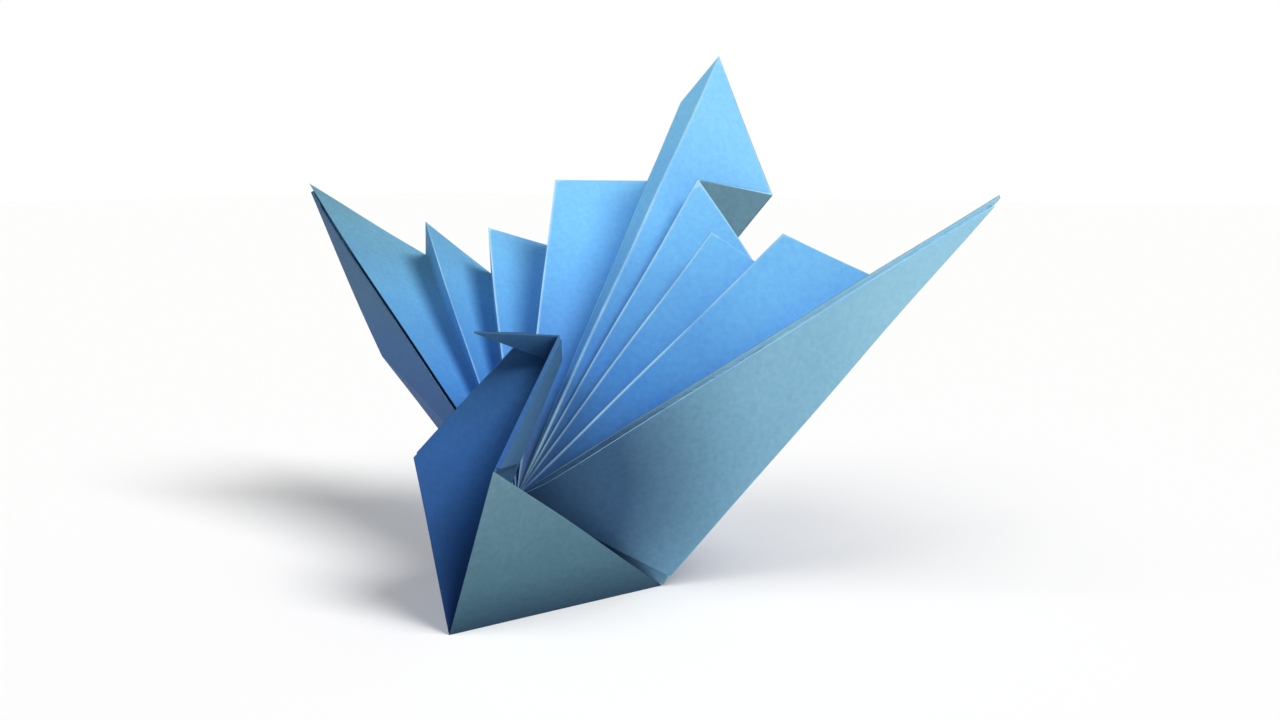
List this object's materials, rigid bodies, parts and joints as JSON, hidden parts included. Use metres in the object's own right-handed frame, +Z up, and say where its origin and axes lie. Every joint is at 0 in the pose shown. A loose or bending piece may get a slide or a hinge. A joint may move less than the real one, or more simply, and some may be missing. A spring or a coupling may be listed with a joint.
{
  "type": "origami peacock",
  "caption": "Standing paper peacock folded from one square blue sheet, with a pleated fan tail, a hollow body, a trough-shaped neck and a pointed beak.",
  "frame": {"origin": "middle of the flat triangular base, on the surface that the bird stands on", "axes": "+Z up, the beak points to -Y, +X is the bird's left"},
  "size_m": [0.1577, 0.0841, 0.1071],
  "materials": {
    "paper": "matte blue paper, pale along the folds"
  },
  "bodies": {
    "root": {"folded_sheet": "paper"}
  },
  "joints": []
}
